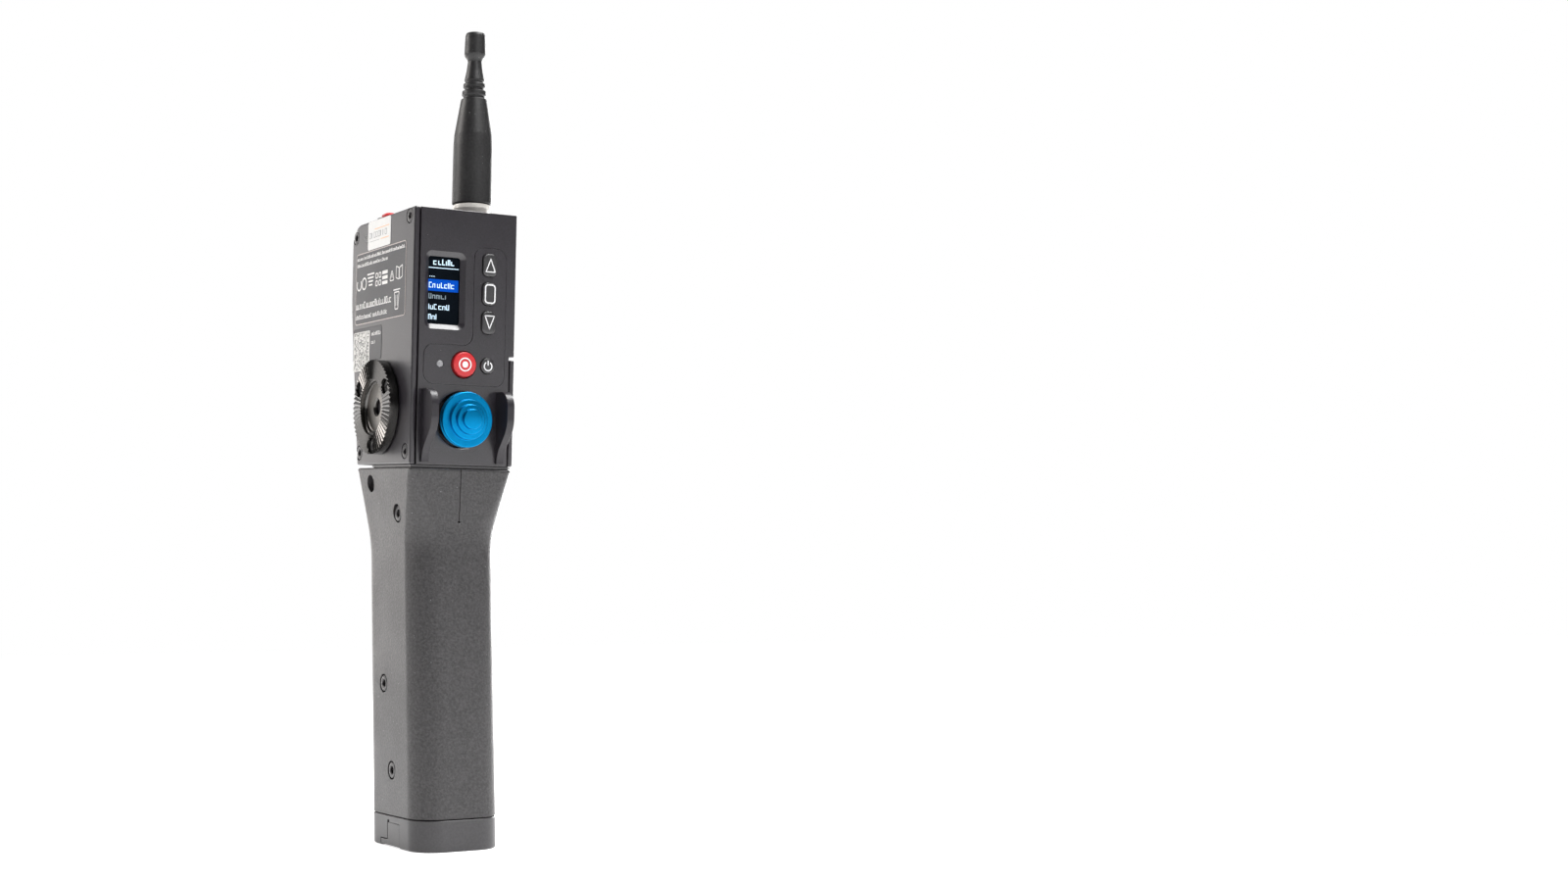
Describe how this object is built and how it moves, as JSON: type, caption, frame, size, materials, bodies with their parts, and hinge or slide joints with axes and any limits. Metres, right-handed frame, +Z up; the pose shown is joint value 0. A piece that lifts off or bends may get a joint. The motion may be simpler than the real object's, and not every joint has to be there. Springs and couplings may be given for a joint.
{
  "type": "zoom demand",
  "caption": "Hand-held wireless zoom demand: battery grip with a flared top and a leaning control head with display, keys, thumb rocker, toothed rosettes and an antenna.",
  "frame": {"origin": "middle of the battery foot's underside, on which the demand stands", "axes": "+Z up along the grip; -Y towards the front panel with display, keys and knob; +X to the right seen from the front"},
  "size_m": [0.0448, 0.0611, 0.2741],
  "materials": {
    "black_anodised": "satin black anodised",
    "textured_charcoal": "fine grained",
    "smooth_charcoal": "smooth",
    "black_plastic": "satin",
    "red_plastic": "satin",
    "milky_plastic": "translucent",
    "display_glass": "polished",
    "black_rubber": "matte",
    "pale_metal": "turned",
    "azure_anodised": "turned and anodised",
    "bright_steel": "machined",
    "black_steel": "black oxide",
    "circuit_board": "coated",
    "gold_contact": "plated"
  },
  "bodies": {
    "body": {"main_housing": "black_anodised", "front_panel": "black_anodised", "left_cover": "black_anodised", "right_cover": "black_anodised", "radio_module": "black_anodised", "thumb_guard_left": "black_anodised", "thumb_guard_right": "black_anodised", "left_rosette": "black_anodised", "right_rosette": "black_anodised", "grip_tenon": "black_anodised", "top_button_collar": "black_anodised", "grip_shell": "textured_charcoal", "keypad_surround": "black_plastic", "display_module": "black_plastic", "battery_sleeve": "black_plastic", "status_led": "milky_plastic", "display_glass": "display_glass", "antenna_whip": "black_rubber", "antenna_collar": "pale_metal", "zoom_pivot_pin": "bright_steel", "zoom_bracket": "bright_steel", "centring_spring": "bright_steel", "left_rosette_screw_1": "black_steel", "left_rosette_screw_2": "black_steel", "left_rosette_screw_3": "black_steel", "right_rosette_screw_1": "black_steel", "right_rosette_screw_2": "black_steel", "right_rosette_screw_3": "black_steel", "left_cover_screw_1": "black_steel", "left_cover_screw_2": "black_steel", "left_cover_screw_3": "black_steel", "left_cover_screw_4": "black_steel", "right_cover_screw_1": "black_steel", "right_cover_screw_2": "black_steel", "grip_screw_left_1": "black_steel", "grip_screw_left_2": "black_steel", "grip_screw_left_3": "black_steel", "grip_screw_right_1": "black_steel", "grip_screw_right_2": "black_steel", "grip_screw_right_3": "black_steel", "grip_clamp_screw": "black_steel", "bus_socket": "black_steel", "camera_socket": "black_steel", "front_circuit_board": "circuit_board", "main_circuit_board": "circuit_board", "battery_contacts": "gold_contact"},
    "up_key": {"up_key": "black_plastic"},
    "select_key": {"select_key": "black_plastic"},
    "down_key": {"down_key": "black_plastic"},
    "record_button": {"record_button": "red_plastic"},
    "power_button": {"power_button": "black_plastic"},
    "top_button": {"top_button": "red_plastic"},
    "zoom_rocker": {"zoom_knob": "azure_anodised", "zoom_lever": "bright_steel", "zoom_dome": "black_rubber"},
    "battery": {"battery_pack": "smooth_charcoal", "battery_foot": "smooth_charcoal"},
    "battery_latch_left": {"battery_latch_left": "smooth_charcoal"},
    "battery_latch_right": {"battery_latch_right": "smooth_charcoal"}
  },
  "joints": [
    {"name": "up_key_press", "type": "slide", "parent": "body", "child": "up_key", "axis": [0, 0.9965, 0.0837], "range_m": [0, 0.0005], "stiffness_N_per_m": 600},
    {"name": "select_key_press", "type": "slide", "parent": "body", "child": "select_key", "axis": [0, 0.9965, 0.0837], "range_m": [0, 0.0005], "stiffness_N_per_m": 600},
    {"name": "down_key_press", "type": "slide", "parent": "body", "child": "down_key", "axis": [0, 0.9965, 0.0837], "range_m": [0, 0.0005], "stiffness_N_per_m": 600},
    {"name": "record_button_press", "type": "slide", "parent": "body", "child": "record_button", "axis": [0, 0.9965, 0.0837], "range_m": [0, 0.0005], "stiffness_N_per_m": 600},
    {"name": "power_button_press", "type": "slide", "parent": "body", "child": "power_button", "axis": [0, 0.9965, 0.0837], "range_m": [0, 0.0005], "stiffness_N_per_m": 600},
    {"name": "top_button_press", "type": "slide", "parent": "body", "child": "top_button", "axis": [0, 0.0837, -0.9965], "range_m": [0, 0.0008], "stiffness_N_per_m": 600},
    {"name": "zoom_tilt", "type": "hinge", "parent": "body", "child": "zoom_rocker", "pos_m": [0, -0.01481, 0.14134], "axis": [1, 0, 0], "range_deg": [-9, 9], "stiffness_Nm_per_rad": 0.2},
    {"name": "battery_slide", "type": "slide", "parent": "body", "child": "battery", "axis": [0, 0, -1], "range_m": [0, 0.09]},
    {"name": "latch_left_press", "type": "slide", "parent": "battery", "child": "battery_latch_left", "axis": [1, 0, 0], "range_m": [0, 0.001], "stiffness_N_per_m": 600},
    {"name": "latch_right_press", "type": "slide", "parent": "battery", "child": "battery_latch_right", "axis": [-1, 0, 0], "range_m": [0, 0.001], "stiffness_N_per_m": 600}
  ]
}
